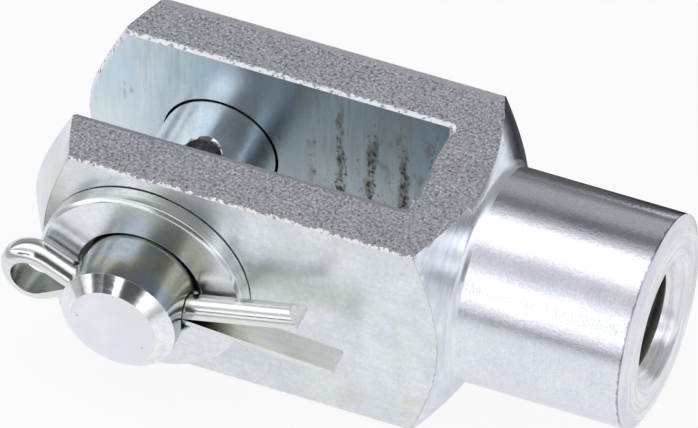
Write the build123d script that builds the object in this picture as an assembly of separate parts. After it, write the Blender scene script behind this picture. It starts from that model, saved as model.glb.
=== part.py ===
from build123d import *
import math
import os

# Clevis rod end: a one-piece fork with a tapped neck, its headed clevis pin,
# a plain washer and a split pin.  Millimetres.
#
# The origin is the middle of the slot on the pin's axis.
#   +X  along the rod's axis, towards the tapped neck
#   +Y  along the pin's axis, towards the pin's head
#   +Z  up, out of the slot's open side

# ---------------------------------------------------------------- fork sizes
bar_width = 20.0            # side of the square bar that the fork is cut from
slot_width = 10.0           # gap between the two arms
slot_reach = 20.4           # pin axis to the slot's floor
slot_corner_radius = 0.5    # where the slot's walls meet its floor
slot_edge_break = 0.3       # ground off the long edges of the slot's two mouths
nose_edge_break = 0.55      # ground off the slot's two edges at the nose
bar_edge_break = 0.25       # ground off the bar's four long edges

nose_reach = 12.1           # pin axis to the tips of the arms
nose_angle = 30.0           # slope of the turned nose, from square to the axis
nose_flat_radius = 3.0      # flat on the blank's tip, milled away by the slot

shoulder_reach = 22.75      # pin axis to the shoulder, at the bar's corners
shoulder_angle = 29.0       # slope of the shoulder, from square to the axis
neck_diameter = 18.0
neck_reach = 40.5           # pin axis to the end of the neck
neck_fillet = 0.8           # between shoulder and neck
neck_chamfer_length = 0.45  # outer edge of the neck's end, along the axis
neck_chamfer_depth = 0.95   # and towards it

thread_core_diameter = 8.5  # tapping size of an M10 thread
thread_lead_in = 1.4        # countersink at the neck's end
thread_run_out = 0.5        # countersink at the slot's floor

# ----------------------------------------------------------------- pin sizes
pin_diameter = 9.9
pin_running_clearance = 0.15    # radial, in both arms
pin_tip_chamfer_length = 1.0    # along the pin
pin_tip_chamfer_depth = 1.2     # towards its axis
pin_head_diameter = 14.0
pin_head_thickness = 3.0
pin_head_chamfer = 0.8
pin_head_relief = 0.3           # cone between head and shank
pin_head_gap = 0.2              # end float left between the head and the fork
bore_edge_break = 0.3           # outer mouths of the two arm bores

split_hole_diameter = 3.2
split_hole_to_tip = 4.1         # hole axis to the pin's tip
split_hole_edge_break = 0.25
oil_hole_diameter = 3.2         # drilled across the shank between the arms
oil_hole_offset = -0.7          # from the middle of the slot, along the pin
oil_hole_angle = 10.0           # how far the hole leans from upright

# -------------------------------------------------------------- washer sizes
washer_diameter = 17.8
washer_play = 0.35              # radial, round the pin
washer_thickness = 1.6
washer_edge_break = 0.3
washer_gap = 0.1                # to the fork's face
washer_drop = 0.25              # it hangs on the pin, a little below its axis

# ----------------------------------------------------------- split pin sizes
wire_diameter = 2.5             # the two half-round legs laid together
wire_seam = 0.06                # gap between the two flats inside the hole
split_pin_gap = 0.25            # to the washer's face
eye_inner_radius = 1.65
eye_reach = 11.45               # pin axis to the far side of the eye
eye_mouth_reach = 5.2           # pin axis to where the legs part at the eye
leg_mouth_reach = 4.8           # pin axis to where the legs are spread
short_leg_reach = 14.8          # pin axis to the tip of the short leg
long_leg_reach = 17.7           # pin axis to the tip of the long leg
short_leg_spread = 12.5         # degrees from the split pin's own axis
long_leg_spread = 6.0
split_pin_tilt = 2.2            # the split pin sits askew in its larger hole
wire_bend_radius = 2.2          # to the flat side, at each small bend
leg_tip_land = 0.5              # square part of each leg's end, by its flat
leg_tip_bevel_angle = 45.0      # bevel on the round side of each leg's end

# ------------------------------------------------------------ derived values
half_bar = bar_width / 2
half_slot = slot_width / 2
bar_corner_radius = half_bar * math.sqrt(2)
nose_slope = math.tan(math.radians(nose_angle))
blank_reach = nose_reach + (half_slot - nose_flat_radius) * nose_slope
outside = bar_width             # reach of cutters that must clear the bar

pin_radius = pin_diameter / 2
bore_radius = pin_radius + pin_running_clearance
head_seat = half_bar + pin_head_gap
thread_radius = thread_core_diameter / 2
neck_radius = neck_diameter / 2

wire_radius = wire_diameter / 2
half_seam = wire_seam / 2
washer_face = -(half_bar + washer_gap + washer_thickness)
split_hole_station = washer_face - split_pin_gap - wire_radius
pin_tip = split_hole_station - split_hole_to_tip
eye_centre = -(eye_reach - eye_inner_radius - wire_radius)


def slope(angle):
    """Rise over run of a line that many degrees from the base line."""
    return math.tan(math.radians(angle))


def along_x(solid):
    """Turn a solid made about +Z so that its axis is +X."""
    return solid.rotate(Axis.Y, 90)


def along_y(solid):
    """Turn a solid made about +Z so that its axis is +Y."""
    return solid.rotate(Axis.X, -90)


# ---------------------------------------------------------------------- fork
def turned_blank():
    """Everything the lathe leaves: coned nose, shoulder, neck and its end."""
    rim = bar_corner_radius + 2
    rise = slope(shoulder_angle)
    nose_rim = (rim - half_slot) * nose_slope - nose_reach
    shoulder_rim = shoulder_reach - (rim - bar_corner_radius) * rise
    shoulder_root = shoulder_reach + (bar_corner_radius - neck_radius) * rise
    outline = Polyline(
        (-blank_reach, nose_flat_radius),
        (nose_rim, rim),
        (shoulder_rim, rim),
        (shoulder_root, neck_radius),
        (neck_reach - neck_chamfer_length, neck_radius),
        (neck_reach, neck_radius - neck_chamfer_depth),
        (neck_reach, 0),
        (-blank_reach, 0),
        (-blank_reach, nose_flat_radius),
    )
    profile = make_face(outline)
    root = profile.vertices().sort_by_distance((shoulder_root, neck_radius))[0]
    profile = fillet(root, neck_fillet)
    return revolve(profile, Axis.X)


def square_bar():
    """The square bar, its four long edges broken."""
    bar = Box(
        blank_reach + neck_reach,
        bar_width,
        bar_width,
        align=(Align.MIN, Align.CENTER, Align.CENTER),
    )
    bar = chamfer(bar.edges().filter_by(Axis.X), bar_edge_break)
    return Pos(-blank_reach, 0, 0) * bar


def slot_cutter():
    """The slot: open at the nose and on two sides, rounded at its floor."""
    start = -blank_reach - 1
    cutter = Box(
        slot_reach - start,
        slot_width,
        2 * outside,
        align=(Align.MIN, Align.CENTER, Align.CENTER),
    )
    floor_edges = cutter.edges().filter_by(Axis.Z).group_by(Axis.X)[-1]
    cutter = fillet(floor_edges, slot_corner_radius)
    return Pos(start, 0, 0) * cutter


def nose_edges(body):
    """The curved edges where the slot's walls meet the coned nose."""
    curves = body.edges().filter_by(GeomType.HYPERBOLA)
    return curves.filter_by(
        lambda edge: math.isclose(abs(edge.center().Y), half_slot, abs_tol=0.01)
    )


def slot_edge_cutter(side, level):
    """A three-sided bar that breaks one long edge of one mouth of the slot."""
    wall = side * half_slot
    face = level * half_bar
    size = slot_edge_break
    section = make_face(
        Polyline(
            (wall + side * size, face),
            (wall + side * size, face + level),
            (wall - side * size, face + level),
            (wall - side * size, face - level * size * 2),
            (wall, face - level * size),
            (wall + side * size, face),
        )
    )
    start = -blank_reach - 1
    length = slot_reach - slot_corner_radius - start
    return Pos(start, 0, 0) * extrude(Plane.YZ * section, length, dir=(1, 0, 0))


def slot_corner_cutter(side, level):
    """A cone that carries a mouth's edge break round one corner of its floor."""
    cone = Cone(slot_corner_radius, slot_corner_radius + slot_edge_break, slot_edge_break)
    if level < 0:
        cone = cone.rotate(Axis.X, 180)
    centre_x = slot_reach - slot_corner_radius
    centre_y = side * (half_slot - slot_corner_radius)
    return Pos(centre_x, centre_y, level * (half_bar - slot_edge_break / 2)) * cone


def tapped_hole_cutter():
    """The tapping-size hole through the neck, countersunk at both ends."""
    start = slot_reach - 1
    drill = Cylinder(
        thread_radius,
        neck_reach + 1 - start,
        align=(Align.CENTER, Align.CENTER, Align.MIN),
    )
    hole = Pos(start, 0, 0) * along_x(drill)
    lead_in = Cone(
        thread_radius,
        thread_radius + thread_lead_in,
        thread_lead_in,
        align=(Align.CENTER, Align.CENTER, Align.MIN),
    )
    run_out = Cone(
        thread_radius + thread_run_out,
        thread_radius,
        thread_run_out,
        align=(Align.CENTER, Align.CENTER, Align.MIN),
    )
    hole += Pos(neck_reach - thread_lead_in, 0, 0) * along_x(lead_in)
    hole += Pos(slot_reach, 0, 0) * along_x(run_out)
    return hole


def clevis_fork():
    """The fork: square bar, turned at both ends, slotted, bored and tapped."""
    body = square_bar() & turned_blank()
    body -= slot_cutter()
    body = chamfer(nose_edges(body), nose_edge_break)
    for side in (-1, 1):
        for level in (-1, 1):
            body -= slot_edge_cutter(side, level)
            body -= slot_corner_cutter(side, level)
    body -= along_y(Cylinder(bore_radius, 2 * outside))
    for side in (-1, 1):
        mouths = body.edges().filter_by(GeomType.CIRCLE)
        mouth = mouths.sort_by_distance((bore_radius, side * half_bar, 0))[0]
        body = chamfer(mouth, bore_edge_break)
    body -= tapped_hole_cutter()
    return body


# ----------------------------------------------------------------------- pin
def pin_blank():
    """The headed pin as it leaves the lathe."""
    head_top = head_seat + pin_head_thickness
    head_radius = pin_head_diameter / 2
    outline = Polyline(
        (0, pin_tip),
        (pin_radius - pin_tip_chamfer_depth, pin_tip),
        (pin_radius, pin_tip + pin_tip_chamfer_length),
        (pin_radius, head_seat - pin_head_relief),
        (pin_radius + pin_head_relief, head_seat),
        (head_radius, head_seat),
        (head_radius, head_top - pin_head_chamfer),
        (head_radius - pin_head_chamfer, head_top),
        (0, head_top),
        (0, pin_tip),
    )
    return revolve(make_face(outline), Axis.Y)


def cross_hole_cutter(diameter, edge_break):
    """A hole along Z right through the shank, its two mouths countersunk."""
    hole = Cylinder(diameter / 2, 4 * pin_radius)
    mouth = Cone(
        diameter / 2,
        diameter / 2 + 2 * edge_break,
        2 * edge_break,
        align=(Align.CENTER, Align.CENTER, Align.MIN),
    )
    mouth = Pos(0, 0, pin_radius - edge_break) * mouth
    return hole + mouth + mouth.rotate(Axis.X, 180)


def clevis_pin():
    """The headed pin, drilled for its split pin and across its middle."""
    body = pin_blank()
    split_hole = cross_hole_cutter(split_hole_diameter, split_hole_edge_break)
    oil_hole = cross_hole_cutter(oil_hole_diameter, split_hole_edge_break)
    body -= Pos(0, split_hole_station, 0) * along_x(split_hole)
    body -= Pos(0, oil_hole_offset, 0) * oil_hole.rotate(Axis.Y, oil_hole_angle)
    return body


# -------------------------------------------------------------------- washer
def washer():
    """The plain washer between the fork and the split pin."""
    outer = washer_diameter / 2
    inner = pin_radius + washer_play
    size = washer_edge_break
    profile = make_face(
        Polyline(
            (inner, 0),
            (outer, 0),
            (outer, -washer_thickness + size),
            (outer - size, -washer_thickness),
            (inner + size / 2, -washer_thickness),
            (inner, -washer_thickness + size / 2),
            (inner, 0),
        )
    )
    ring = revolve(profile, Axis.Y)
    return Pos(0, -half_bar - washer_gap, -washer_drop) * ring


# ----------------------------------------------------------------- split pin
def turn_point(start, angle, reach):
    """The point that a line from start, sloping by angle, reaches at x=reach."""
    return (reach, start[1] + (reach - start[0]) * slope(angle))


def wire_path():
    """The line of the wire's flat side: leg, eye and leg, in the XY plane."""
    eye_mouth = (-eye_mouth_reach, half_seam)
    leg_mouth = (leg_mouth_reach, half_seam)
    span = -eye_mouth_reach - eye_centre
    strand_angle = math.asin(eye_inner_radius / math.hypot(span, half_seam))
    touch_x = eye_centre + eye_inner_radius * math.sin(strand_angle)
    touch_y = eye_inner_radius * math.cos(strand_angle)
    short_tip = turn_point(leg_mouth, short_leg_spread, short_leg_reach)
    long_tip = turn_point(leg_mouth, long_leg_spread, long_leg_reach)

    upper = [short_tip, leg_mouth, eye_mouth, (touch_x, touch_y)]
    lower = [(x, -y) for x, y in (upper[3], eye_mouth, leg_mouth, long_tip)]
    eye_side = (eye_centre - eye_inner_radius, 0)
    short_side = FilletPolyline(*upper, radius=wire_bend_radius)
    eye = ThreePointArc(upper[3], eye_side, lower[0])
    long_side = FilletPolyline(*lower, radius=wire_bend_radius)
    return Wire(short_side.edges() + eye.edges() + long_side.edges())


def half_round(path):
    """The wire's section at the start of the path, round side outwards."""
    plane = Plane(origin=path @ 0, x_dir=(0, 0, 1), z_dir=path % 0)
    round_side = Rectangle(
        2 * wire_diameter,
        2 * wire_diameter,
        align=(Align.CENTER, Align.MIN),
    )
    return plane * (Circle(wire_radius) & round_side)


def tip_cutter(tip, angle):
    """A block that bevels the round side of a leg's end."""
    side = math.copysign(1, angle)
    across = math.radians(angle + side * 90)
    corner_x = tip.X + leg_tip_land * math.cos(across)
    corner_y = tip.Y + leg_tip_land * math.sin(across)
    block = Box(
        outside,
        outside,
        outside,
        align=(Align.MIN, Align.CENTER, Align.CENTER),
    )
    block = block.rotate(Axis.Z, angle + side * leg_tip_bevel_angle)
    return Pos(corner_x, corner_y, 0) * block


def split_pin():
    """The split pin: one half-round wire folded into an eye and two legs."""
    path = wire_path()
    body = sweep(half_round(path), path)
    body -= tip_cutter(path @ 0, short_leg_spread)
    body -= tip_cutter(path @ 1, -long_leg_spread)
    body = body.rotate(Axis.X, 90)
    body = body.rotate(Axis.Y, -split_pin_tilt)
    return Pos(0, split_hole_station, 0) * body


# -------------------------------------------------------------------- output
def main():
    """Build every piece and write one STEP file for each."""
    os.makedirs("parts", exist_ok=True)
    pieces = {
        "clevis_fork": clevis_fork(),
        "clevis_pin": clevis_pin(),
        "washer": washer(),
        "split_pin": split_pin(),
    }
    for name, piece in pieces.items():
        export_step(piece, f"parts/{name}.step")


main()
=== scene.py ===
import logging
import math
from dataclasses import dataclass, field
from enum import Enum
from typing import Callable, Sequence

import bpy
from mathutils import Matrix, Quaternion, Vector


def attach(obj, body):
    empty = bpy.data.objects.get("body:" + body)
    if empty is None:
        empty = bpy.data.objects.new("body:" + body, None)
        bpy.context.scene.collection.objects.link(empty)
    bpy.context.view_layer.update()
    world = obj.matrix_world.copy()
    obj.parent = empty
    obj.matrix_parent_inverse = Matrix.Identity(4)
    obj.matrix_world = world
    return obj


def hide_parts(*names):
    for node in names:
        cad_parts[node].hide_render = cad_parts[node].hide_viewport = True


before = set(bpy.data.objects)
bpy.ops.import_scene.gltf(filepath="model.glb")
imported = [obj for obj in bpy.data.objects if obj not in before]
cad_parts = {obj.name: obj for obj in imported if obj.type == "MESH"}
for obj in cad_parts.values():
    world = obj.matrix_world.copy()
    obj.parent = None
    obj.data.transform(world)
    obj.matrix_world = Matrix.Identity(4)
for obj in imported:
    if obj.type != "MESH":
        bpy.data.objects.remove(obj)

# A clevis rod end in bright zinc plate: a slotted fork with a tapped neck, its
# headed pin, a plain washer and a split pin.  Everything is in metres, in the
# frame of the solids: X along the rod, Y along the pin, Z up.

log = logging.getLogger("clevis_rod_end")

MM = 0.001
FLAT = 0.98
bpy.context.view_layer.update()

Pair = tuple[float, float]
Triple = tuple[float, float, float]
Colour = Triple
Item = bpy.types.Object
Node = bpy.types.Node
Tree = bpy.types.NodeTree
Socket = bpy.types.NodeSocket
Picker = Callable[[Vector, Vector], bool]


# ---- the bench


class Bench:
    """Hand tools for meshes: each method works on one piece at a time."""

    @staticmethod
    def take(piece: Item) -> None:
        """Make a piece the only selected and active object.

        Args:
            piece: The object to work on.
        """
        bpy.ops.object.select_all(action="DESELECT")
        piece.select_set(True)
        bpy.context.view_layer.objects.active = piece

    @staticmethod
    def copy_of(node: str, name: str) -> Item:
        """Copy a solid's loose triangles and sew them into one mesh.

        Args:
            node: Name of the solid's node.
            name: Name of the new piece.

        Returns:
            The new piece, with its flat faces whole again.
        """
        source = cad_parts[node]
        mesh = source.data.copy()
        mesh.materials.clear()
        piece = bpy.data.objects.new(name, mesh)
        bpy.context.scene.collection.objects.link(piece)
        Bench.take(piece)
        if mesh.has_custom_normals:
            bpy.ops.mesh.customdata_custom_splitnormals_clear()
        bpy.ops.object.mode_set(mode="EDIT")
        bpy.ops.mesh.select_all(action="SELECT")
        bpy.ops.mesh.remove_doubles(threshold=0.000002)
        bpy.ops.mesh.dissolve_limited(angle_limit=math.radians(0.4))
        bpy.ops.mesh.normals_make_consistent(inside=False)
        bpy.ops.object.mode_set(mode="OBJECT")
        return piece

    @staticmethod
    def apply(piece: Item, kind: str, **settings: object) -> None:
        """Add a modifier to a piece and apply it.

        Args:
            piece: The piece to change.
            kind: The modifier's type, such as BEVEL.
            **settings: The modifier's own settings.
        """
        Bench.take(piece)
        bpy.ops.object.modifier_add(type=kind)
        modifier = piece.modifiers[-1]
        for key, value in settings.items():
            setattr(modifier, key, value)
        bpy.ops.object.modifier_apply(modifier=modifier.name)

    @staticmethod
    def cut(piece: Item, cutter: Item) -> None:
        """Cut one closed piece out of another, and throw the cutter away."""
        Bench.apply(piece, "BOOLEAN", operation="DIFFERENCE", solver="EXACT", object=cutter)
        bpy.data.objects.remove(cutter, do_unlink=True)

    @staticmethod
    def smooth(piece: Item, crease: float) -> None:
        """Shade a piece smooth across edges of up to so many degrees."""
        Bench.take(piece)
        bpy.ops.object.shade_smooth_by_angle(angle=math.radians(crease))

    @staticmethod
    def soften(piece: Item, width: float, angle: float = 25.0,
               crease: float = 32.0, harden: bool = False) -> None:
        """Round the sharp edges of a piece a little and smooth its shading.

        Args:
            piece: The piece to soften.
            width: Width of the rounding, in metres.
            angle: Smallest angle, in degrees, that counts as an edge.
            crease: Largest angle, in degrees, that is shaded smooth.
            harden: Keep the shading of the large faces right up to the rounding.
        """
        if harden:
            Bench.smooth(piece, crease)
        Bench.apply(
            piece, "BEVEL", width=width, segments=2, limit_method="ANGLE",
            angle_limit=math.radians(angle), use_clamp_overlap=True, harden_normals=harden)
        if not harden:
            Bench.smooth(piece, crease)
            Bench.apply(piece, "WEIGHTED_NORMAL", mode="FACE_AREA", weight=100, keep_sharp=True)


# ---- the shaders' wiring


class Wiring:
    """Adds and joins the nodes of one node tree."""

    def __init__(self, tree: Tree) -> None:
        """Keep the tree that the nodes go into."""
        self.tree = tree

    def node(self, kind: str, **settings: object) -> Node:
        """Add a node.

        Args:
            kind: The node's type name.
            **settings: Properties to set on it.

        Returns:
            The new node.
        """
        node = self.tree.nodes.new(kind)
        for key, value in settings.items():
            setattr(node, key, value)
        return node

    def feed(self, target: Socket, value: object) -> None:
        """Join a socket to another socket, or set it to a constant."""
        if isinstance(value, Socket):
            self.tree.links.new(value, target)
        elif value is not None:
            target.default_value = value

    def fill(self, node: Node, *values: object) -> Socket | None:
        """Feed a node's inputs in order and give its first output.

        Args:
            node: The node to fill.
            *values: A socket or a constant for each input.

        Returns:
            The node's first output, if it has one.
        """
        for target, value in zip(node.inputs, values):
            self.feed(target, value)
        return node.outputs[0] if node.outputs else None

    def math(self, operation: str, *values: object) -> Socket:
        """Add a Math node and feed its inputs in order."""
        return self.fill(self.node("ShaderNodeMath", operation=operation), *values)

    def times(self, first: object, second: object) -> Socket:
        """Multiply two values."""
        return self.math("MULTIPLY", first, second)

    def minus(self, first: object, second: object) -> Socket:
        """Take the second value from the first."""
        return self.math("SUBTRACT", first, second)

    def vector(self, operation: str, *values: object) -> Socket:
        """Add a Vector Math node and feed its inputs in order."""
        return self.fill(self.node("ShaderNodeVectorMath", operation=operation), *values)

    def split(self, vector: Socket) -> Sequence[Socket]:
        """Split a vector into X, Y and Z."""
        node = self.node("ShaderNodeSeparateXYZ")
        self.feed(node.inputs[0], vector)
        return node.outputs

    def join(self, x: object, y: object, z: object) -> Socket:
        """Build a vector from three values."""
        return self.fill(self.node("ShaderNodeCombineXYZ"), x, y, z)

    def length(self, x: object, y: object, z: object) -> Socket:
        """Give the length of a vector made of three values."""
        node = self.node("ShaderNodeVectorMath", operation="LENGTH")
        self.feed(node.inputs[0], self.join(x, y, z))
        return node.outputs["Value"]

    def spread(self, value: object, low: object, high: object,
               new_low: object = 0.0, new_high: object = 1.0, smooth: bool = False) -> Socket:
        """Map a value from one range to another, kept inside the new one."""
        kind = "SMOOTHSTEP" if smooth else "LINEAR"
        node = self.node("ShaderNodeMapRange", interpolation_type=kind, clamp=True)
        return self.fill(node, value, low, high, new_low, new_high)

    def noise(self, vector: object, scale: object, detail: float = 2.0,
              roughness: float = 0.55, distortion: float = 0.0) -> Socket:
        """Add a noise texture and give its value."""
        node = self.node("ShaderNodeTexNoise", noise_dimensions="3D")
        for target, item in (("Vector", vector), ("Scale", scale), ("Detail", detail),
                             ("Roughness", roughness), ("Distortion", distortion)):
            self.feed(node.inputs[target], item)
        return node.outputs[0]

    def blend(self, amount: object, first: object, second: object, mode: str = "MIX") -> Socket:
        """Mix two colours by an amount from 0 to 1."""
        node = self.node("ShaderNodeMix", data_type="RGBA", blend_type=mode)
        self.feed(node.inputs[0], amount)
        for target, item in ((node.inputs[6], first), (node.inputs[7], second)):
            if isinstance(item, tuple) and len(item) == 3:
                item = (*item, 1.0)
            self.feed(target, item)
        return node.outputs[2]

    def effect(self, group: Tree, **values: object) -> Node:
        """Place a shared effect and feed its named inputs.

        Args:
            group: The effect's node group.
            **values: Inputs by name, with _ for a space.

        Returns:
            The group node, whose outputs are read by name.
        """
        node = self.node("ShaderNodeGroup")
        node.node_tree = group
        for key, value in values.items():
            self.feed(node.inputs[key.replace("_", " ")], value)
        return node


class Effects:
    """Effects that several finishes share, each one node group."""

    def __init__(self) -> None:
        """Build every shared effect once."""
        self.clouds = self._clouds()
        self.pickling = self._pickling()
        self.strokes = self._strokes()
        self.lathe_rings = self._lathe_rings()
        self.ragged_line = self._ragged_line()
        self.specks = self._specks()

    @staticmethod
    def _group(name: str, *outputs: str, **inputs: object) -> tuple:
        """Start a node group, whose first two inputs are Vector and Scale.

        Args:
            name: The group's name.
            *outputs: Name of each output, which is a single value.
            **inputs: Default value of each further input, a number or a vector.

        Returns:
            The group's wiring, its Vector, its Scale, all that it is given and
            the sockets that it fills.
        """
        tree = bpy.data.node_groups.new(name, "ShaderNodeTree")
        for title, value in {"Vector": (0.0, 0.0, 0.0), "Scale": 1.0, **inputs}.items():
            kind = "NodeSocketVector" if isinstance(value, tuple) else "NodeSocketFloat"
            made = tree.interface.new_socket(title, in_out="INPUT", socket_type=kind)
            made.default_value = value
        for title in outputs:
            tree.interface.new_socket(title, in_out="OUTPUT", socket_type="NodeSocketFloat")
        net = Wiring(tree)
        given = net.node("NodeGroupInput").outputs
        made = net.node("NodeGroupOutput").inputs
        return net, given["Vector"], given["Scale"], given, made

    def _clouds(self) -> Tree:
        """Soft patches, as plating and handling leave them."""
        net, place, scale, _, made = self._group("clouds", "Mask", "Other Mask")
        first = net.noise(place, scale, 3.0, 0.6, 0.4)
        net.feed(made["Mask"], net.spread(first, 0.35, 0.65, smooth=True))
        moved = net.vector("ADD", place, (0.31, 0.17, 0.23))
        second = net.noise(moved, net.times(scale, 1.7), 2.0, 0.5, 0.2)
        net.feed(made["Other Mask"], net.spread(second, 0.35, 0.65, smooth=True))
        return net.tree

    def _pickling(self) -> Tree:
        """The salt-and-pepper grain of pickled bar under thin zinc."""
        net, place, scale, _, made = self._group("pickling", "Grain", "Height")
        fine = net.noise(place, scale, 2.0, 0.6)
        net.feed(made["Grain"], net.spread(fine, 0.34, 0.66))
        moved = net.vector("ADD", place, (0.05, 0.11, 0.07))
        coarse = net.noise(moved, net.times(scale, 0.55), 3.0, 0.6)
        net.feed(made["Height"], net.math("MULTIPLY_ADD", fine, 0.5, coarse))
        return net.tree

    def _strokes(self) -> Tree:
        """Straight cutter or brush strokes: noise drawn out along one way."""
        net, place, scale, given, made = self._group(
            "strokes", "Strokes", Stretch=(1.0, 1.0, 1.0))
        drawn = net.vector("MULTIPLY", place, given["Stretch"])
        value = net.noise(drawn, scale, 3.0, 0.65)
        net.feed(made["Strokes"], net.spread(value, 0.25, 0.75))
        return net.tree

    def _lathe_rings(self) -> Tree:
        """Rings round the X axis, as a facing cut leaves them."""
        net, place, scale, _, made = self._group("lathe rings", "Rings")
        part = net.split(place)
        radius = net.length(0.0, part[1], part[2])
        slow = net.vector("MULTIPLY", place, (0.06, 0.06, 0.06))
        turned = net.vector("ADD", net.join(radius, 0.0, 0.0), slow)
        value = net.noise(turned, scale, 3.0, 0.65)
        net.feed(made["Rings"], net.spread(value, 0.25, 0.75))
        return net.tree

    def _ragged_line(self) -> Tree:
        """A band beside an edge whose border is torn by the grain."""
        net, place, scale, given, made = self._group(
            "ragged line", "Mask", Distance=0.0, Width=0.0, Tear=0.0)
        fine = net.noise(place, scale, 3.0, 0.7)
        shift = net.times(net.minus(fine, 0.5), given["Tear"])
        reach = net.math("MULTIPLY_ADD", shift, 4.0, given["Width"])
        over = net.minus(given["Distance"], reach)
        net.feed(made["Mask"], net.spread(over, -0.00002, 0.00003, 1.0, 0.0))
        return net.tree

    def _specks(self) -> Tree:
        """Sparse small pits and flecks."""
        net, place, scale, given, made = self._group("specks", "Mask", Share=0.0, Size=0.0)
        cells = net.node("ShaderNodeTexVoronoi", feature="F1")
        wobble = net.noise(place, net.times(scale, 3.0))
        net.feed(cells.inputs["Vector"], place)
        net.feed(cells.inputs["Scale"], scale)
        random = net.split(cells.outputs["Color"])[0]
        chosen = net.math("LESS_THAN", random, given["Share"])
        size = net.times(given["Size"], net.math("ADD", wobble, 0.4))
        inside = net.spread(net.minus(size, cells.outputs["Distance"]), 0.0, 0.08)
        net.feed(made["Mask"], net.times(inside, chosen))
        return net.tree


# ---- the finishes


class Marks(Enum):
    """What left its marks on a surface, and which way they run."""

    ROUND_ROD = "round the rod's axis"
    ROUND_PIN = "round the pin's axis"
    ACROSS = "up and down"
    ALONG = "along the rod"
    FACED = "rings on an end face"
    PICKLED = "grain of the pickled steel"


STRETCH: dict[Marks, Triple] = {
    Marks.ROUND_ROD: (1.0, 0.12, 0.12),
    Marks.ROUND_PIN: (0.1, 1.0, 0.1),
    Marks.ACROSS: (1.0, 1.0, 0.07),
    Marks.ALONG: (0.06, 1.0, 1.0),
}


@dataclass
class Look:
    """What a finish has worked out so far for its surface."""

    net: Wiring
    effects: Effects
    place: Socket
    colour: Socket
    rough: Socket
    heights: list[Socket]

    def paint(self, mask: Socket, colour: object, share: float = 1.0) -> None:
        """Lay a colour over the surface where a mask is 1.

        Args:
            mask: How much of the colour shows, from 0 to 1.
            colour: The colour, as a value or a socket.
            share: Factor on the mask.
        """
        if share != 1.0:
            mask = self.net.times(mask, share)
        self.colour = self.net.blend(mask, self.colour, colour)

    def stretched(self, stretch: Triple | None) -> Socket:
        """Give the place with each axis scaled, which draws a pattern out."""
        if stretch is None:
            return self.place
        return self.net.vector("MULTIPLY", self.place, stretch)


@dataclass(frozen=True)
class Relief:
    """A fine relief all over a surface, which also darkens and lightens it.

    The effect's first output is for the shading, its last one for the height.
    """

    marks: Marks
    scale: float = 3500.0
    depth: float = 0.000002
    shade: float = 0.15

    def add(self, look: Look) -> None:
        """Add the relief to a surface.

        Args:
            look: The surface's look, which is changed.
        """
        net, effects = look.net, look.effects
        shared = {"Vector": look.place, "Scale": self.scale}
        if self.marks is Marks.PICKLED:
            made = net.effect(effects.pickling, **shared)
        elif self.marks is Marks.FACED:
            made = net.effect(effects.lathe_rings, **shared)
        else:
            made = net.effect(effects.strokes, Stretch=STRETCH[self.marks], **shared)
        level = net.spread(made.outputs[0], 0.0, 1.0, 1.0 - self.shade, 1.0 + self.shade)
        look.colour = net.blend(1.0, look.colour, net.join(level, level, level), "MULTIPLY")
        if self.depth:
            look.heights.append(net.times(made.outputs[-1], self.depth))


@dataclass(frozen=True)
class Speckle:
    """Patches of one colour, where a noise is high, or low if high is below low."""

    colour: Colour
    scale: float
    low: float
    high: float
    share: float = 1.0
    detail: float = 2.0
    roughness: float = 0.55
    smooth: bool = False
    stretch: Triple | None = None
    offset: Triple | None = None

    def mask(self, look: Look, limit: Socket | None = None) -> Socket:
        """Give the patches' mask.

        Args:
            look: The surface's look.
            limit: What is taken from the noise, where there is to be less of it.

        Returns:
            The mask.
        """
        net = look.net
        place = look.stretched(self.stretch)
        if self.offset:
            place = net.vector("ADD", place, self.offset)
        value = net.noise(place, self.scale, self.detail, self.roughness)
        if limit is not None:
            value = net.minus(value, limit)
        return net.spread(value, self.low, self.high, smooth=self.smooth)

    def paint(self, look: Look, limit: Socket | None = None) -> None:
        """Lay the patches over a surface."""
        look.paint(self.mask(look, limit), self.colour, self.share)


@dataclass(frozen=True)
class Strip:
    """A strip of one colour beside an edge, with a border torn by the grain."""

    colour: Colour
    width: float
    tear: float
    scale: float
    share: float = 1.0
    stretch: Triple | None = None

    def mask(self, look: Look, distance: Socket, width: Socket | None = None) -> Socket:
        """Give the strip's mask.

        Args:
            look: The surface's look.
            distance: Distance from the edge, in metres.
            width: The strip's width, if it isn't the same all over.

        Returns:
            The mask.
        """
        made = look.net.effect(
            look.effects.ragged_line, Vector=look.stretched(self.stretch), Distance=distance,
            Width=self.width if width is None else width, Tear=self.tear, Scale=self.scale)
        return made.outputs["Mask"]

    def paint(self, look: Look, distance: Socket) -> None:
        """Lay the strip over a surface, beside the edge that the distance is from."""
        look.paint(self.mask(look, distance), self.colour, self.share)


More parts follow.
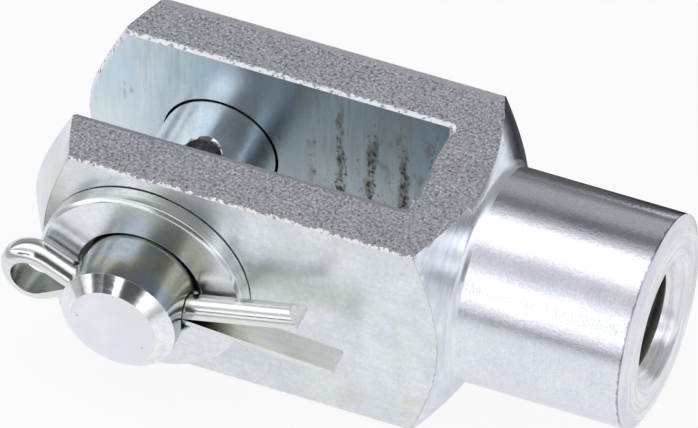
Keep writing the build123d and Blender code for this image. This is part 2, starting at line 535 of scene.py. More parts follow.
@dataclass(frozen=True)
class Plating:
    """Zinc plate on worked steel, with the marks of its making underneath."""

    name: str
    colour: Colour = (0.86, 0.88, 0.9)
    tint: Colour = (0.84, 0.87, 0.8)
    tint_share: float = 0.6
    shade: Colour = (0.66, 0.68, 0.72)
    shade_share: float = 0.25
    cloud_scale: float = 160.0
    metal: float = 1.0
    roughness: float = 0.2
    roughness_spread: float = 0.06
    reliefs: tuple[Relief, ...] = ()

    def build(self, effects: Effects) -> bpy.types.Material:
        """Make the material.

        Args:
            effects: The shared effects.

        Returns:
            The finished material.
        """
        material = bpy.data.materials.new(self.name)
        material.use_nodes = True
        net = Wiring(material.node_tree)
        shader = material.node_tree.nodes["Principled BSDF"]
        net.feed(shader.inputs["Metallic"], self.metal)
        look = self.base_look(net, effects)
        for relief in self.reliefs:
            relief.add(look)
        self.add_details(look)
        net.feed(shader.inputs["Base Color"], look.colour)
        net.feed(shader.inputs["Roughness"], look.rough)
        if look.heights:
            total = look.heights[0]
            for height in look.heights[1:]:
                total = net.math("ADD", total, height)
            bump = net.node("ShaderNodeBump")
            net.feed(bump.inputs["Distance"], 1.0)
            net.feed(bump.inputs["Height"], total)
            net.feed(shader.inputs["Normal"], bump.outputs[0])
        return material

    def base_look(self, net: Wiring, effects: Effects) -> Look:
        """Start with the plating's own colour and its soft patches.

        Args:
            net: The material's wiring.
            effects: The shared effects.

        Returns:
            The surface's look so far.
        """
        place = net.node("ShaderNodeTexCoord").outputs["Object"]
        clouds = net.effect(effects.clouds, Vector=place, Scale=self.cloud_scale).outputs
        colour = net.blend(
            net.times(clouds["Mask"], self.tint_share), self.colour, self.tint)
        colour = net.blend(
            net.times(clouds["Other Mask"], self.shade_share), colour, self.shade)
        rough = net.math(
            "MULTIPLY_ADD", clouds["Mask"], self.roughness_spread, self.roughness)
        return Look(net, effects, place, colour, rough, [])

    def add_details(self, look: Look) -> None:
        """Add what only this surface shows; plain plating adds nothing.

        Args:
            look: The surface's look, which is changed.
        """


@dataclass(frozen=True)
class PinEnd(Plating):
    """The pin's flat end, with a few small pits."""

    pit_scale: float = 1600.0
    pit_share: float = 0.03
    pit_size: float = 0.22
    pit_colour: Colour = (0.42, 0.43, 0.45)

    def add_details(self, look: Look) -> None:
        """Add the pits."""
        pits = look.net.effect(
            look.effects.specks, Vector=look.place, Scale=self.pit_scale, Share=self.pit_share,
            Size=self.pit_size)
        look.paint(pits.outputs["Mask"], self.pit_colour)


@dataclass(frozen=True)
class PickledTop(Plating):
    """The bar's own rolled faces, on both open sides of the slot."""

    half_bar: float = 9.75
    half_slot: float = 5.3
    slot_floor: float = 20.4
    sparkle: Speckle = Speckle((1.0, 1.0, 1.0), 4600.0, 0.56, 0.68, 0.95, 1.0, 0.5)
    pores: Speckle = Speckle(
        (0.17, 0.17, 0.19), 3900.0, 0.43, 0.33, 0.85, 1.0, 0.5, offset=(0.2, 0.1, 0.3))
    rubbed: Strip = Strip(
        (0.4, 0.4, 0.45), 0.0003, 0.00018, 1800.0, 0.8, stretch=(0.5, 1.0, 1.0))
    worn: Strip = Strip(
        (0.66, 0.65, 0.64), 0.00055, 0.0004, 1500.0, 0.75, stretch=(0.5, 1.0, 1.0))
    torn: Strip = Strip((0.95, 0.95, 0.92), -0.0002, 0.00035, 2800.0)
    far_torn_width: float = -0.00004

    def add_details(self, look: Look) -> None:
        """Add sparkling grains, rubbed bands along the arms, and torn borders."""
        net = look.net
        part = net.split(look.place)
        reach = net.math("ABSOLUTE", part[1])
        self.sparkle.paint(look)
        self.pores.paint(look)
        past_wall = net.minus(reach, self.half_slot * MM)
        past_floor = net.minus(part[0], self.slot_floor * MM)
        inner = net.math("MAXIMUM", past_wall, past_floor)
        outer = net.minus(self.half_bar * MM, reach)
        far = net.math("GREATER_THAN", part[1], 0.0)
        near = net.minus(1.0, far)
        for strip, distance, arm in ((self.rubbed, inner, near), (self.worn, outer, far)):
            mask = net.times(strip.mask(look, distance), arm)
            look.paint(mask, strip.colour, strip.share)
        nearest = net.math("MINIMUM", net.spread(far, 0.0, 1.0, 1.0, inner), outer)
        width = net.spread(far, 0.0, 1.0, self.torn.width, self.far_torn_width)
        look.paint(self.torn.mask(look, nearest, width), self.torn.colour)


@dataclass(frozen=True)
class MilledSide(Plating):
    """The flat sides of the arms, with a dull line where turning meets them.

    Shoulder and nose are given as one point's reach along the rod, its radius
    and the cone's slope in degrees.
    """

    shoulder: Triple = (22.75, 14.142, 29.0)
    nose: Triple = (-12.1, 5.0, 30.0)
    half_bar: float = 9.75
    line: Strip = Strip((0.5, 0.48, 0.44), 0.00008, 0.00011, 1700.0, 0.7)
    torn: Strip = Strip((1.0, 0.96, 0.88), -0.00014, 0.00022, 3600.0)
    stain: Speckle = Speckle((0.8, 0.74, 0.58), 190.0, 0.6, 0.72, 0.45, 3.0, 0.6, True)
    nicks: Speckle = Speckle(
        (0.5, 0.48, 0.44), 2600.0, 0.63, 0.7, 0.45, 4.0, 0.75, stretch=(0.55, 1.0, 1.0))

    def add_details(self, look: Look) -> None:
        """Add the two border lines, the torn bright edges and faint stains."""
        net = look.net
        part = net.split(look.place)
        radius = net.length(0.0, part[1], part[2])
        for (reach, rim, angle), way in ((self.shoulder, -1.0), (self.nose, 1.0)):
            rise = way * math.tan(math.radians(angle))
            border = net.math("MULTIPLY_ADD", radius, rise, (reach - rim * rise) * MM)
            self.line.paint(look, net.math("ABSOLUTE", net.minus(part[0], border)))
        height = net.math("ABSOLUTE", part[2])
        self.torn.paint(look, net.minus(self.half_bar * MM, height))
        self.stain.paint(look)
        self.nicks.paint(look)


@dataclass(frozen=True)
class SlotWall(Plating):
    """The milled walls of the slot, with rows of cutting-oil stains.

    Each clean zone is given by the places where it is fully clean and where it
    ends, and by how much it takes from the stains' noise.
    """

    row_pitch: float = 2.7
    row_start: float = 7.9
    row_edges: Pair = (0.2, 0.9)
    wobble: float = 1.2
    wobble_scale: float = 500.0
    clean_above: Triple = (8.5, 3.0, 0.16)
    clean_before: Triple = (6.6, 10.0, 0.2)
    clean_between: float = 0.16
    green: Colour = (0.86, 0.95, 0.92)
    green_share: float = 0.5
    green_zone: Pair = (4.5, -1.0)
    cast: Speckle = Speckle(
        (0.62, 0.77, 0.9), 170.0, 0.45, 0.62, 0.6, smooth=True, stretch=(1.0, 1.0, 0.35))
    scratches: Speckle = Speckle(
        (0.95, 0.99, 1.0), 2300.0, 0.58, 0.7, 0.45, 3.0, 0.7, stretch=(1.0, 1.0, 0.05))
    rust: Speckle = Speckle(
        (0.22, 0.165, 0.075), 900.0, 0.38, 0.6, 0.62, 2.0, 0.5, stretch=(1.0, 1.0, 0.55))
    stain: Speckle = Speckle(
        (0.055, 0.04, 0.02), 3200.0, 0.44, 0.6, 0.85, 3.0, stretch=(1.0, 1.0, 0.55))

    def add_details(self, look: Look) -> None:
        """Add a blue cast in places, fine scratches, a painted reflection low on the wall and
        the rows of stains.
        """
        part = look.net.split(look.place)
        self.cast.paint(look)
        self.scratches.paint(look)
        # Painted reflection: the wall turns paler and greener towards its bottom, for the lit
        # floor seen through the slot.
        start, full = self.green_zone
        lower = look.net.spread(part[2], start * MM, full * MM, smooth=True)
        look.paint(lower, self.green, self.green_share)
        limit = self.stain_limit(look, part[0], part[2])
        self.rust.paint(look, limit)
        self.stain.paint(look, limit)

    def stain_limit(self, look: Look, along: Socket, up: Socket) -> Socket:
        """Work out what is taken from the stains' noise at each place.

        Args:
            look: The surface's look.
            along: Place along the rod.
            up: Height above the rod's axis.

        Returns:
            The limit, which is low in the rows, low down and near the slot's floor.
        """
        net = look.net
        noise = net.minus(net.noise(look.place, self.wobble_scale), 0.5)
        place = net.math(
            "ADD", net.minus(along, self.row_start * MM), net.times(noise, self.wobble * MM))
        turn = net.math("COSINE", net.times(place, math.tau / (self.row_pitch * MM)))
        row = net.spread(turn, *self.row_edges, smooth=True)
        limit = net.spread(row, 0.0, 1.0, self.clean_between, 0.0)
        for value, (clean, end, amount) in ((up, self.clean_above), (along, self.clean_before)):
            zone = net.spread(value, clean * MM, end * MM, amount, 0.0)
            limit = net.math("ADD", limit, zone)
        return limit


@dataclass(frozen=True)
class GroundEdge(Plating):
    """A bright edge break with a lumpy surface."""

    dull: Colour = (0.4, 0.4, 0.43)
    clean_to: float = 9.97
    tear: float = 0.00022
    tear_scale: float = 3000.0
    nick_scale: float = 2600.0
    nick_range: Pair = (0.56, 0.62)

    def add_details(self, look: Look) -> None:
        """Leave dull nicks, and a ragged border towards the bar's own face."""
        height = look.net.math("ABSOLUTE", look.net.split(look.place)[2])
        below = look.net.minus(self.clean_to * MM, height)
        Strip(self.dull, 0.0, self.tear, self.tear_scale).paint(look, below)
        Speckle(self.dull, self.nick_scale, *self.nick_range, roughness=0.6).paint(look)


@dataclass(frozen=True)
class TurnedNeck(Plating):
    """The neck's turned cylinder, with a dull line where the end chamfer starts."""

    cylinder_end: float = 40.0
    line: Strip = Strip((0.3, 0.3, 0.34), 0.0001, 0.00014, 1800.0, 0.8)

    def add_details(self, look: Look) -> None:
        """Add the thin torn line at the cylinder's end."""
        along = look.net.split(look.place)[0]
        self.line.paint(look, look.net.minus(self.cylinder_end * MM, along))


@dataclass(frozen=True)
class Shank(Plating):
    """The pin's ground shank: weathered outside the fork, greasy round its oil hole."""

    hole_station: float = -0.7
    hole_radius: float = 1.6
    hole_lean: float = 10.0
    grease: Strip = Strip((0.1, 0.1, 0.1), 0.0001, 0.0002, 2600.0, 0.85)
    grease_roughness: float = 0.6
    outer_end: Pair = (-16.3, -16.2)
    outer_start: Pair = (-10.2, -10.0)
    weathered: Colour = (0.5, 0.55, 0.6)
    olive: Speckle = Speckle(
        (0.56, 0.56, 0.45), 420.0, 0.42, 0.58, detail=3.0, roughness=0.6, smooth=True)
    weather_roughness: float = 0.07

    def add_details(self, look: Look) -> None:
        """Add the weathering and the ring of grease, which is dull as well as dark."""
        net = look.net
        part = net.split(look.place)
        (end, past_end), (start, full) = self.outer_end, self.outer_start
        past_washer = net.spread(part[1], start * MM, full * MM, 1.0, 0.0)
        before_end = net.spread(part[1], end * MM, past_end * MM)
        weather = net.times(past_washer, before_end)
        aged = net.blend(self.olive.mask(look), self.weathered, self.olive.colour)
        look.paint(weather, net.blend(1.0, look.colour, aged, "MULTIPLY"))
        look.rough = net.math("MULTIPLY_ADD", weather, self.weather_roughness, look.rough)
        beside = net.minus(part[1], self.hole_station * MM)
        drift = net.times(part[2], math.tan(math.radians(self.hole_lean)))
        radius = net.length(net.minus(part[0], drift), beside, 0.0)
        ring = self.grease.mask(look, net.minus(radius, self.hole_radius * MM))
        look.paint(ring, self.grease.colour, self.grease.share)
        look.rough = net.spread(ring, 0.0, 1.0, look.rough, self.grease_roughness)


@dataclass(frozen=True)
class WireFlat(Plating):
    """The wire's flat side, with painted shade where the legs leave the pin."""

    greasy: Pair = (5.2, 9.5)
    grease: Colour = (0.1, 0.09, 0.06)
    grease_share: float = 0.9

    def add_details(self, look: Look) -> None:
        """Darken the start of both legs with painted shade, for the upper leg's shadow and dark
        reflection.
        """
        start, end = self.greasy
        along = look.net.split(look.place)[0]
        # Painted shade: the lower leg's flat is darkened near the pin, where the upper leg
        # shades it and is mirrored in it.
        mask = look.net.spread(along, start * MM, end * MM, self.grease_share, 0.0, smooth=True)
        look.paint(mask, self.grease)


# ---- the studio


@dataclass
class Studio:
    """Camera, soft boxes all round, and a pale floor.

    Lengths are in millimetres, on the floor's patches in metres.  A band is an
    angle round the rod's axis and its light, a flag its limits across, its two
    angles and its light, and a shadow its limits and softness across and along the
    floor, its lean and its light.  A fade is a value's ends and the light at each.
    """

    azimuth: float = 21.922
    elevation: float = 45.166
    roll: float = 0.3857
    target: Triple = (12.0133, 3.2538, -1.5627)
    distance: float = 764.0
    focal_length: float = 485.818
    sensor_width: float = 36.0
    clip: Pair = (0.05, 10.0)
    floor_height: float = -10.1
    floor_size: float = 3.0
    paper: Colour = (0.85, 0.86, 0.9)
    floor_glow: Colour = (0.97, 0.985, 1.02)
    floor_fade: tuple[float, ...] = (-0.15, -0.05, 0.48, 0.96)
    mirror_fade: tuple[float, ...] = (0.1, 0.5, 0.96, 0.75)
    camera_share: float = 0.9
    flags: tuple[tuple[float, ...], ...] = (
        (-0.12, 0.72, 22.5, 60.0, 0.08), (-0.76, -0.54, 15.0, 29.5, 0.07),
        (-0.56, -0.3, 22.0, 33.0, 0.07), (0.7, 1.1, -8.0, 22.0, 0.38),
        (-1.1, -0.46, 50.0, 62.0, 0.5))
    flag_edges: Pair = (0.03, 2.5)
    bands: tuple[Pair, ...] = (
        (-180, 0.1), (-170, 0.5), (-90, 0.7), (-8, 0.5), (0, 0.55), (6, 0.8), (15, 1.3),
        (36, 1.5), (46, 0.98), (55, 0.68), (67, 0.66), (76, 1.2), (90, 1.5), (104, 1.4),
        (112, 0.7), (121, 0.32), (127, 0.15), (133, 0.17), (144, 0.38), (165, 0.4),
        (173, 0.2), (180, 0.12))
    blue: Colour = (0.97, 0.985, 1.05)
    shadows: tuple[tuple[Triple, Triple, float, float], ...] = (
        ((0.021, 0.046, 0.004), (0.015, 2.0, 0.006), 0.27, 0.08),
        ((0.026, 0.041, 0.004), (0.015, 2.0, 0.006), 0.0, 0.08),
        ((-0.009, 0.024, 0.003), (-0.005, 0.009, 0.004), 0.0, 0.34),
        ((-2.0, -0.043, 0.006), (-2.0, 0.015, 0.01), 0.0, 0.45))

    def build(self) -> None:
        """Set up the whole studio."""
        self.set_camera()
        self.set_light()
        self.lay_floor()
        bpy.context.scene.view_settings.view_transform = "Standard"

    def set_camera(self) -> None:
        """Stand the camera where the part is seen from above its open side."""
        around, up = math.radians(self.azimuth), math.radians(self.elevation)
        back = Vector((
            math.sin(around) * math.cos(up), -math.cos(around) * math.cos(up), math.sin(up)))
        lens = bpy.data.cameras.new("camera")
        lens.lens = self.focal_length
        lens.sensor_width = self.sensor_width
        lens.clip_start, lens.clip_end = self.clip
        camera = bpy.data.objects.new("camera", lens)
        bpy.context.scene.collection.objects.link(camera)
        camera.location = (Vector(self.target) + back * self.distance) * MM
        camera.rotation_mode = "QUATERNION"
        level = (-back).to_track_quat("-Z", "Y")
        camera.rotation_quaternion = level @ Quaternion((0.0, 0.0, 1.0), math.radians(self.roll))
        bpy.context.scene.camera = camera

    def set_light(self) -> None:
        """Hang long soft boxes and dark flags in bands along the rod's axis."""
        world = bpy.data.worlds.new("soft boxes")
        bpy.context.scene.world = world
        world.use_nodes = True
        world.node_tree.nodes.clear()
        net = Wiring(world.node_tree)
        way = net.split(net.node("ShaderNodeTexCoord").outputs["Generated"])
        height = net.math("ARCTAN2", way[2], net.times(way[1], -1.0))
        ramp = net.node("ShaderNodeValToRGB")
        net.feed(ramp.inputs[0], net.spread(height, -math.pi, math.pi))
        stops = ramp.color_ramp.elements
        while len(stops) > 1:
            stops.remove(stops[0])
        for index, (angle, value) in enumerate(self.bands):
            place = (angle + 180.0) / 360.0
            stop = stops[0] if index == 0 else stops.new(place)
            stop.position = place
            stop.color = (value, value, value, 1.0)
        light = net.blend(1.0, ramp.outputs[0], self.blue, "MULTIPLY")
        side_edge, height_edge = self.flag_edges
        for left, right, low, high, value in self.flags:
            flag = self.patch(net, (way[0], left, right, side_edge), (
                height, math.radians(low), math.radians(high), math.radians(height_edge)))
            light = net.blend(flag, light, (value, value, value * 1.1))
        boxes = net.fill(net.node("ShaderNodeBackground"), light)
        backdrop = net.fill(net.node("ShaderNodeBackground"), (1.0, 1.0, 1.0, 1.0))
        seen = net.node("ShaderNodeLightPath").outputs["Is Camera Ray"]
        mixed = net.fill(net.node("ShaderNodeMixShader"), seen, boxes, backdrop)
        net.fill(net.node("ShaderNodeOutputWorld"), mixed)

    @staticmethod
    def patch(net: Wiring, *sides: tuple[Socket, float, float, float]) -> Socket:
        """Mark a soft-edged patch: 1 inside it, 0 outside.

        Args:
            net: The node tree to work in.
            *sides: A value, its lower and upper limits and the edge's half-width.

        Returns:
            The patch's mask.
        """
        inside: object = 1.0
        for value, low, high, soft in sides:
            rise = net.spread(value, low - soft, low + soft, smooth=True)
            fall = net.spread(value, high + soft, high - soft, smooth=True)
            inside = net.times(inside, net.times(rise, fall))
        return inside

    def lay_floor(self) -> None:
        """Lay a pale floor that keeps the part's soft shadow."""
        bpy.ops.object.select_all(action="DESELECT")
        bpy.ops.mesh.primitive_plane_add(
            size=self.floor_size, location=(0.0, 0.0, self.floor_height * MM))
        floor = bpy.context.object
        floor.name = "floor"
        material = bpy.data.materials.new("floor paper")
        material.use_nodes = True
        material.node_tree.nodes.clear()
        net = Wiring(material.node_tree)
        paper = net.fill(net.node("ShaderNodeBsdfDiffuse"), (*self.paper, 1.0))
        rays = net.node("ShaderNodeLightPath")
        mirrored = rays.outputs["Is Glossy Ray"]
        part = net.split(net.node("ShaderNodeTexCoord").outputs["Object"])
        level = net.spread(part[1], *self.floor_fade)
        for across, along, lean, value in self.shadows:
            side = net.math("MULTIPLY_ADD", part[1], lean, part[0])
            dark = self.patch(net, (side, *across), (part[1], *along))
            level = net.times(level, net.spread(dark, 0.0, 1.0, 1.0, value))
        glow = net.fill(
            net.node("ShaderNodeEmission"),
            net.blend(mirrored, (1.0, 1.0, 1.0), self.floor_glow),
            net.math("MAXIMUM", net.minus(1.0, mirrored), level))
        seen = net.math(
            "MAXIMUM", net.times(rays.outputs["Is Camera Ray"], self.camera_share),
            net.times(mirrored, net.spread(level, *self.mirror_fade)))
        mixed = net.fill(net.node("ShaderNodeMixShader"), seen, paper, glow)
        net.fill(net.node("ShaderNodeOutputMaterial"), mixed)
        floor.data.materials.append(material)


# ---- the part


@dataclass
class Piece:
    """One piece of the part, with the finishes that its surfaces have."""

    effects: Effects
    softness: float = 0.05
    steel: dict[str, Plating] = field(default_factory=dict)

    def dress(self, piece: Item, choices: Sequence[tuple[Picker, str]]) -> None:
        """Give each face the first finish whose picker takes it.

        Args:
            piece: The piece to dress.
            choices: Pairs of a picker, which gets a face's middle in millimetres
                and its normal, and the finish for the faces that it takes.
        """
        made = {key: plating.build(self.effects) for key, plating in self.steel.items()}
        mesh = piece.data
        mesh.materials.clear()
        for _, key in choices:
            mesh.materials.append(made[key])
        for face in mesh.polygons:
            middle = face.center / MM
            for index, (picker, _) in enumerate(choices):
                if picker(middle, face.normal):
                    face.material_index = index
                    break


@dataclass
class Fork(Piece):
    """The slotted fork with its tapped neck."""

    slot_floor: float = 20.4
    neck_end: float = 40.5
    thread_pitch: float = 1.5
    thread_root: float = 5.05
    thread_crest: float = 4.1
    lead_in: float = 1.4
    groove_taper: float = 0.88
    groove_root: float = 0.12
    groove_steps: int = 48
    steel: dict[str, Plating] = field(default_factory=lambda: {
        "top": PickledTop(
            "pickled top", colour=(0.64, 0.65, 0.66), tint=(0.58, 0.57, 0.61),
            shade=(0.46, 0.46, 0.49), shade_share=0.4, cloud_scale=260.0, metal=0.75,
            roughness=0.38, reliefs=(Relief(Marks.PICKLED, 3400.0, 0.00002, 0.3),)),
        "side": MilledSide(
            "milled side", colour=(0.88, 0.9, 0.93), tint=(0.86, 0.88, 0.8),
            shade=(0.7, 0.74, 0.76), shade_share=0.5, cloud_scale=230.0, roughness=0.24,
            roughness_spread=0.1,
            reliefs=(Relief(Marks.ALONG, 2500.0, 0.000001, 0.03),
                     Relief(Marks.PICKLED, 2500.0, 0.0, 0.05))),
        "nose": Plating(
            "turned nose", colour=(0.92, 0.95, 0.94), tint=(0.9, 0.92, 0.86), roughness=0.26,
            reliefs=(Relief(Marks.ROUND_ROD, 3000.0, shade=0.04),)),
        "wall": SlotWall(
            "slot wall", colour=(0.75, 0.83, 0.88), tint=(0.77, 0.85, 0.83),
            shade=(0.6, 0.66, 0.68), roughness=0.27,
            reliefs=(Relief(Marks.ACROSS, 2800.0, 0.000004, 0.16),)),
        "neck": TurnedNeck(
            "turned neck", colour=(0.88, 0.89, 0.93), tint=(0.87, 0.88, 0.88), roughness=0.13,
            reliefs=(Relief(Marks.ROUND_ROD, 5200.0, shade=0.04),
                     Relief(Marks.PICKLED, 4400.0, 0.000011, 0.05))),
        "root": Plating(
            "neck root", colour=(0.94, 0.96, 0.98), tint=(0.9, 0.94, 0.96), roughness=0.3,
            reliefs=(Relief(Marks.ROUND_ROD, 3200.0, 0.000004, 0.1),)),
        "shoulder": Plating(
            "turned shoulder", colour=(0.87, 0.89, 0.91), tint=(0.78, 0.85, 0.9), roughness=0.16,
            reliefs=(Relief(Marks.ROUND_ROD, 3200.0, 0.000006, 0.14),)),
        "faced": Plating(
            "faced end", colour=(0.89, 0.93, 0.91), tint=(0.95, 0.91, 0.8), shade_share=0.05,
            cloud_scale=90.0, roughness=0.28,
            reliefs=(Relief(Marks.FACED, 3500.0, 0.0000004, 0.03),)),
        "edge": GroundEdge(
            "ground edge", colour=(1.0, 1.0, 0.99), tint=(1.0, 0.99, 0.96), shade_share=0.0,
            metal=0.3, roughness=0.25, reliefs=(Relief(Marks.PICKLED, 2500.0, 0.00001, 0.05),)),
        # Painted shade: the pin's bore in the arms and the tapped bore of the neck are coloured
        # far darker than the plating, for the shade deep inside them.
        "bore": Plating(
            "bore", colour=(0.2, 0.2, 0.21), tint=(0.18, 0.18, 0.17), roughness=0.45),
        "thread": Plating(
            "thread", colour=(0.46, 0.47, 0.41), tint=(0.36, 0.36, 0.28), roughness=0.4,
            shade=(0.22, 0.22, 0.2), shade_share=0.6),
        "rim": Plating(
            "turned rim", colour=(0.93, 0.93, 0.94), tint=(0.94, 0.92, 0.87),
            shade=(0.66, 0.66, 0.7), shade_share=0.2, cloud_scale=300.0, metal=0.8,
            roughness=0.22, reliefs=(Relief(Marks.FACED, 2800.0, 0.00001, 0.24),)),
        # Painted highlight: the chamfer band round the neck's end is pure white and barely
        # metallic, so it shows bright whatever it faces.
        "bevel": Plating(
            "neck bevel", colour=(1.0, 1.0, 1.0), tint=(0.97, 0.97, 1.0), shade=(0.8, 0.8, 0.87),
            cloud_scale=300.0, metal=0.25, roughness=0.3,
            reliefs=(Relief(Marks.FACED, 4200.0, 0.000004, 0.1),)),
        "corner": GroundEdge(
            "bar corner", colour=(1.0, 0.98, 0.92), tint=(0.98, 0.93, 0.84), shade_share=0.1,
            metal=0.6, roughness=0.28, reliefs=(Relief(Marks.PICKLED, 2500.0, 0.00001, 0.05),),
            clean_to=9.9, dull=(0.34, 0.33, 0.34)),
    })

    def build(self) -> Item:
        """Build and dress the fork.

        Returns:
            The fork's piece.
        """
        piece = Bench.copy_of("clevis_fork", "fork_body")
        self.cut_thread(piece)
        Bench.soften(piece, self.softness * MM)
        self.dress(piece, self.surfaces())
        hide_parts("clevis_fork")
        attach(piece, "fork")
        return piece

    def cut_thread(self, piece: Item) -> None:
        """Cut the thread's groove into the neck's bore.

        Args:
            piece: The fork, which is changed.
        """
        half = self.thread_pitch / 2.0
        turns = math.ceil((self.neck_end - self.slot_floor) / self.thread_pitch) + 1
        start = self.neck_end - self.lead_in - half - turns * self.thread_pitch
        bpy.ops.object.select_all(action="DESELECT")
        bpy.ops.mesh.primitive_circle_add(
            vertices=4, radius=0.5 * MM, fill_type="NGON", location=(0.0, 0.0, 0.0))
        groove = bpy.context.object
        profile = (
            (start - half * self.groove_taper, self.thread_crest),
            (start - self.groove_root, self.thread_root),
            (start + self.groove_root, self.thread_root),
            (start + half * self.groove_taper, self.thread_crest))
        for corner, (along, out) in zip(groove.data.vertices, profile):
            corner.co = (along * MM, out * MM, 0.0)
        Bench.apply(
            groove, "SCREW", axis="X", angle=math.tau, screw_offset=self.thread_pitch * MM,
            iterations=turns, steps=self.groove_steps, render_steps=self.groove_steps,
            use_smooth_shade=False, use_merge_vertices=False)
        Bench.take(groove)
        bpy.ops.object.mode_set(mode="EDIT")
        bpy.ops.mesh.select_mode(type="EDGE")
        bpy.ops.mesh.select_all(action="DESELECT")
        bpy.ops.mesh.select_non_manifold(extend=False, use_boundary=True)
        bpy.ops.mesh.edge_face_add()
        bpy.ops.mesh.select_all(action="SELECT")
        bpy.ops.mesh.normals_make_consistent(inside=False)
        bpy.ops.object.mode_set(mode="OBJECT")
        Bench.cut(piece, groove)

    def surfaces(self) -> Sequence[tuple[Picker, str]]:
        """List which faces of the fork get which finish, by limits in millimetres.

        Returns:
            Pairs of a picker and a finish, the first that fits being the one used.
        """
        def radius(place: Vector) -> float:
            """Distance from the rod's axis."""
            return math.hypot(place.y, place.z)

        def pin_radius(place: Vector) -> float:
            """Distance from the pin's axis."""
            return math.hypot(place.x, place.z)

        return (
            (lambda c, n: radius(c) < 5.7 and n.x > 0.4 and c.x > 38.0, "rim"),
            (lambda c, n: radius(c) < 5.4 and c.x > self.slot_floor + 0.02, "thread"),
            (lambda c, n: pin_radius(c) < 5.2 and abs(n.y) < 0.5 and abs(c.y) > 4.9, "bore"),
            (lambda c, n: abs(n.z) > FLAT and abs(c.z) > 9.9, "top"),
            (lambda c, n: abs(n.y) > FLAT and abs(c.y) > 9.9, "side"),
            (lambda c, n: abs(n.y) > FLAT and abs(c.y) < 5.2 and c.x < 20.5, "wall"),
            (lambda c, n: n.x < -FLAT and 19.0 < c.x < 21.0, "wall"),
            (lambda c, n: n.x > FLAT and c.x > 40.0, "faced"),
            (lambda c, n: c.x > 39.0 and abs(n.x) > 0.2 and radius(c) > 7.9, "bevel"),
            (lambda c, n: 24.5 < c.x < 27.0 and 0.05 < n.x < 0.84 and radius(c) > 8.0, "root"),
            (lambda c, n: c.x > 25.0 and abs(n.x) < 0.3 and radius(c) > 8.0, "neck"),
            (lambda c, n: c.x > 22.0 and abs(n.x) < 0.95 and radius(c) > 8.0, "shoulder"),
            (lambda c, n: c.x < -6.0 and n.x < -0.8 and radius(c) > 5.6, "nose"),
            (lambda c, n: abs(c.y) > 9.7, "corner"),
            (lambda c, n: True, "edge"),
        )


@dataclass
class ClevisPin(Piece):
    """The headed pin, with its cross holes."""

    steel: dict[str, Plating] = field(default_factory=lambda: {
        "end": PinEnd("pin end", colour=(0.94, 0.95, 0.98), tint=(0.96, 0.94, 0.9)),
        "shank": Shank(
            "pin shank", colour=(0.97, 0.99, 1.0), tint=(0.92, 0.95, 0.84), cloud_scale=260.0,
            roughness=0.08, reliefs=(Relief(Marks.ROUND_PIN, 3500.0, 0.000001, 0.06),
                                     Relief(Marks.PICKLED, 3000.0, 0.000003, 0.06))),
        # Painted shade: the cross holes are coloured darker than the shank, for the shade inside
        # them.
        "hole": Plating(
            "pin hole", colour=(0.4, 0.41, 0.42), roughness=0.4,
            reliefs=(Relief(Marks.PICKLED, 3200.0, 0.0, 0.4),)),
    })

    def build(self) -> Item:
        """Build and dress the pin.

        Returns:
            The pin's piece.
        """
        piece = Bench.copy_of("clevis_pin", "pin_body")
        Bench.soften(piece, self.softness * MM, crease=18.0, harden=True)
        self.dress(piece, (
            (lambda c, n: (-15.2 < c.y < -11.2 or -2.6 < c.y < 1.2)
             and c.x * n.x + c.z * n.z < 2.8, "hole"),
            (lambda c, n: n.y < -FLAT and c.y < -17.0, "end"),
            (lambda c, n: True, "shank"),
        ))
        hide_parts("clevis_pin")
        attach(piece, "pin")
        return piece


@dataclass
class Washer(Piece):
    """The plain washer behind the split pin."""

    softness: float = 0.04
    steel: dict[str, Plating] = field(default_factory=lambda: {
        "face": Plating(
            "washer face", colour=(0.92, 0.94, 0.95), tint=(0.9, 0.92, 0.84), roughness=0.24,
            shade=(0.74, 0.74, 0.8), cloud_scale=140.0,
            reliefs=(Relief(Marks.PICKLED, 2600.0, 0.000003, 0.05),)),
        "rim": Plating(
            "washer rim", colour=(0.9, 0.94, 0.92), tint=(0.9, 0.92, 0.84),
            reliefs=(Relief(Marks.ROUND_PIN, 2500.0),)),
    })

    def build(self) -> Item:
        """Build and dress the washer.

        Returns:
            The washer's piece.
        """
        piece = Bench.copy_of("washer", "washer_ring")
        Bench.soften(piece, self.softness * MM)
        self.dress(piece, (
            (lambda c, n: abs(n.y) > 0.9, "face"),
            (lambda c, n: True, "rim"),
        ))
        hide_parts("washer")
        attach(piece, "washer")
        return piece


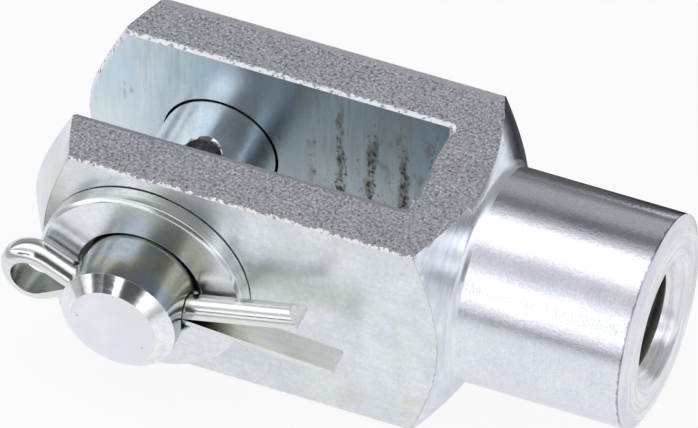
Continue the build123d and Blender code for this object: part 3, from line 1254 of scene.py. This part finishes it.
@dataclass
class SplitPin(Piece):
    """The split pin of half-round wire."""

    softness: float = 0.03
    eye: Pair = (-8.54, -0.33)
    steel: dict[str, Plating] = field(default_factory=lambda: {
        "wire": Plating(
            "split pin wire", colour=(0.9, 0.9, 0.89), tint=(0.86, 0.86, 0.78), roughness=0.14,
            reliefs=(Relief(Marks.ALONG, 2500.0, shade=0.08),)),
        "flat": WireFlat(
            "split pin flat", colour=(1.0, 1.0, 0.94), tint=(0.9, 0.92, 0.8),
            shade=(0.62, 0.64, 0.54), roughness=0.24,
            reliefs=(Relief(Marks.ALONG, 2500.0, shade=0.08),)),
        # Painted shade: the flat inside the eye is the same wire as the legs' flat, coloured
        # darker for the shade inside the loop.
        "eye": Plating(
            "split pin eye", colour=(0.5, 0.54, 0.48), tint=(0.6, 0.64, 0.54), roughness=0.26,
            reliefs=(Relief(Marks.ROUND_PIN, 2500.0, shade=0.12),)),
        "cut": Plating(
            "split pin cut end", colour=(0.95, 0.92, 0.85), tint=(0.92, 0.91, 0.88), metal=0.2,
            roughness=0.5, reliefs=(Relief(Marks.PICKLED, 3000.0, 0.00002, 0.12),)),
    })

    def build(self) -> Item:
        """Build and dress the split pin.

        Returns:
            The split pin's piece.
        """
        piece = Bench.copy_of("split_pin", "split_pin_wire")
        Bench.soften(piece, self.softness * MM, 40.0)
        self.dress(piece, (
            (lambda c, n: c.x > 9.0 and n.x > 0.35, "cut"),
            (lambda c, n: c.x < -4.0 and self.on_flat(c, n), "eye"),
            (self.on_flat, "flat"),
            (lambda c, n: True, "wire"),
        ))
        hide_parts("split_pin")
        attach(piece, "pin")
        return piece

    def on_flat(self, middle: Vector, normal: Vector) -> bool:
        """Tell whether a face is on the wire's flat side."""
        if abs(normal.y) > 0.05:
            return False
        if middle.x < -4.0:
            inward = (self.eye[0] - middle.x) * normal.x + (self.eye[1] - middle.z) * normal.z
            return inward > 0.3
        return middle.x > 4.0 and (normal.z > 0.5) == (middle.z < 0.8)


def main() -> None:
    """Build the studio and every sub-assembly, and report each piece."""
    logging.basicConfig(level=logging.INFO, format="%(name)s: %(message)s")
    Studio().build()
    effects = Effects()
    for builder in (Fork(effects), ClevisPin(effects), Washer(effects), SplitPin(effects)):
        piece = builder.build()
        log.info("%s: %d faces", piece.name, len(piece.data.polygons))


if __name__ == "__main__":
    main()
